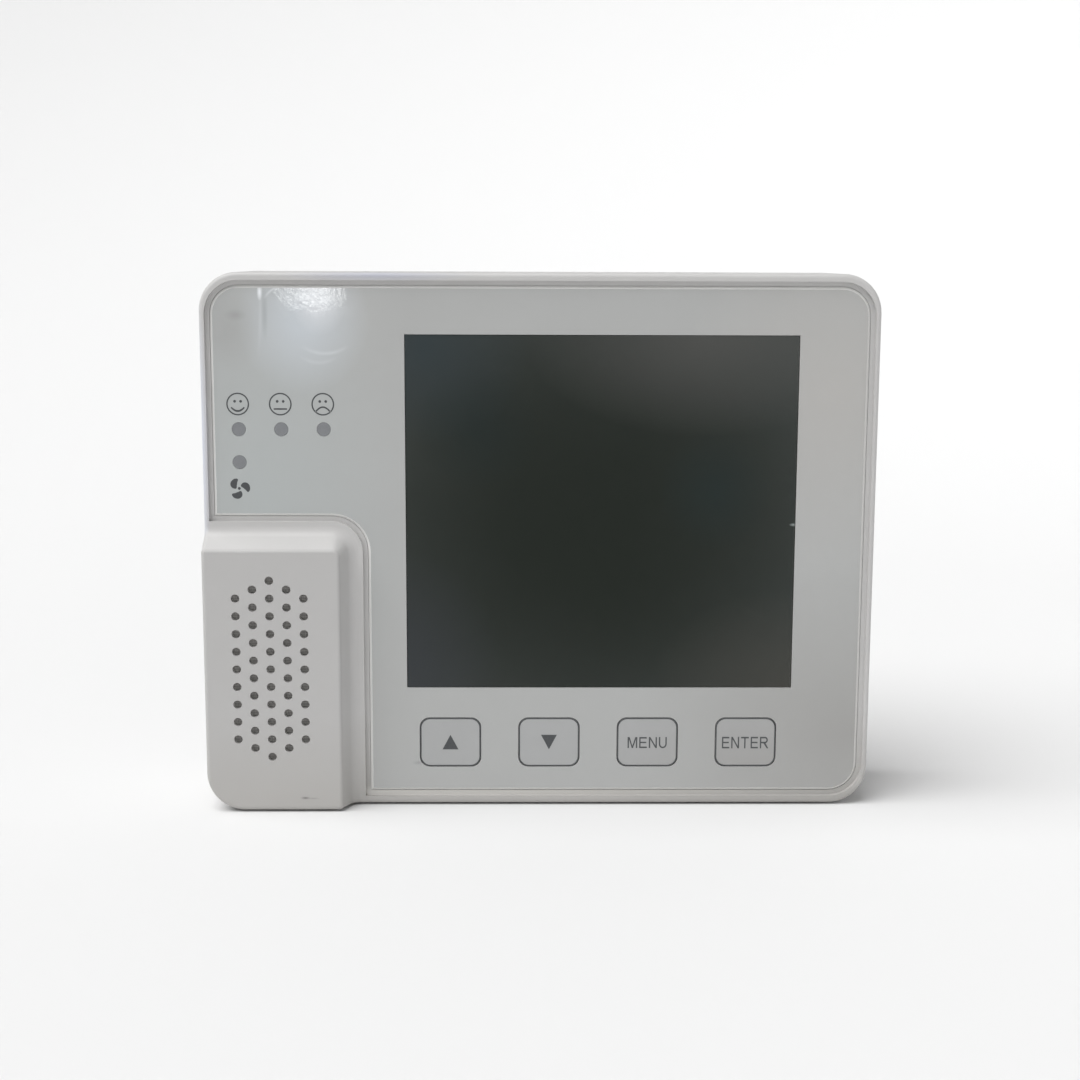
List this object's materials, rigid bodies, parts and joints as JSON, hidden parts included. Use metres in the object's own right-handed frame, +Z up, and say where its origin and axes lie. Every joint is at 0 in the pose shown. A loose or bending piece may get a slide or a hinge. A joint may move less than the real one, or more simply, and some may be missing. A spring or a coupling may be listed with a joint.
{
  "type": "air quality monitor",
  "caption": "Wall-mounted indoor air quality monitor with a square dark display, a raised vented sensor chamber, status lights, push keys and a hook-on wall plate.",
  "frame": {"origin": "centre of the wall plate's back face, which lies on the wall", "axes": "+X to the right of a person facing the front, +Z up, +Y into the wall; the front faces -Y"},
  "size_m": [0.1492, 0.035, 0.1196],
  "materials": {
    "case": "fine spark-eroded texture, warm white",
    "face_sheet": "glossy sheet, cool pale grey",
    "display_pane": "dark tinted gloss",
    "black_foam": "matte closed-cell foam",
    "lcd": "polariser film over glass",
    "white_moulding": "smooth",
    "light_guide": "frosted",
    "black_rubber": "striped conductive elastomer",
    "black_moulding": "smooth",
    "led": "clear epoxy",
    "light_pipe": "smoked translucent grey",
    "board": "green solder mask",
    "chip": "moulded epoxy",
    "bright_metal": "zinc plated",
    "relay_blue": "moulded cover",
    "can_metal": "drawn can",
    "varistor_blue": "dipped epoxy",
    "fuse_glass": "clear tube with metal caps",
    "terminal_green": "moulded",
    "gold_cell": "gold plated moulding",
    "membrane": "porous white membrane",
    "mesh": "fine woven filter mesh",
    "ribbon": "flat flexible cable",
    "key": "glossy, flush with the face sheet"
  },
  "bodies": {
    "wall_plate": {"wall_plate": "case"},
    "device": {"board_fuse": "fuse_glass", "board_link_header": "black_moulding", "buzzer": "black_moulding", "case_screws": "bright_metal", "chamber_divider": "black_foam", "clock_crystal": "bright_metal", "co2_sensor": "gold_cell", "co2_sensor_filter": "membrane", "display_gasket": "black_foam", "display_window": "display_pane", "dust_filter": "mesh", "face_plate": "face_sheet", "fan_relays": "relay_blue", "front_housing": "case", "lcd_backlight": "light_guide", "lcd_connector_strips": "black_rubber", "lcd_glass": "lcd", "lcd_holder": "white_moulding", "light_pipes": "light_pipe", "light_shroud": "black_moulding", "logic_chips": "chip", "main_board": "board", "main_board_screws": "bright_metal", "main_board_socket": "white_moulding", "microcontroller": "chip", "power_board": "board", "power_board_screws": "bright_metal", "power_supply_module": "black_moulding", "rear_housing": "case", "sensor_board": "board", "sensor_board_screws": "bright_metal", "sensor_ribbon_cable": "ribbon", "sensor_socket": "white_moulding", "smoothing_capacitors": "can_metal", "status_leds": "led", "surge_varistor": "varistor_blue", "tact_switches": "black_moulding", "temp_humidity_sensor": "chip", "terminal_block": "terminal_green", "terminal_screws": "bright_metal", "voc_sensor": "can_metal"},
    "key_up": {"key_cap_up": "key", "switch_plunger_up": "white_moulding"},
    "key_down": {"key_cap_down": "key", "switch_plunger_down": "white_moulding"},
    "key_menu": {"key_cap_menu": "key", "switch_plunger_menu": "white_moulding"},
    "key_enter": {"key_cap_enter": "key", "switch_plunger_enter": "white_moulding"}
  },
  "joints": [
    {"name": "device_lift", "type": "slide", "parent": "wall_plate", "child": "device", "axis": [0, 0, 1], "range_m": [0, 0.006]},
    {"name": "press_up", "type": "slide", "parent": "device", "child": "key_up", "axis": [0, 1, 0], "range_m": [0, 0.0003], "stiffness_N_per_m": 5000, "springref_m": -0.0003},
    {"name": "press_down", "type": "slide", "parent": "device", "child": "key_down", "axis": [0, 1, 0], "range_m": [0, 0.0003], "stiffness_N_per_m": 5000, "springref_m": -0.0003},
    {"name": "press_menu", "type": "slide", "parent": "device", "child": "key_menu", "axis": [0, 1, 0], "range_m": [0, 0.0003], "stiffness_N_per_m": 5000, "springref_m": -0.0003},
    {"name": "press_enter", "type": "slide", "parent": "device", "child": "key_enter", "axis": [0, 1, 0], "range_m": [0, 0.0003], "stiffness_N_per_m": 5000, "springref_m": -0.0003}
  ]
}
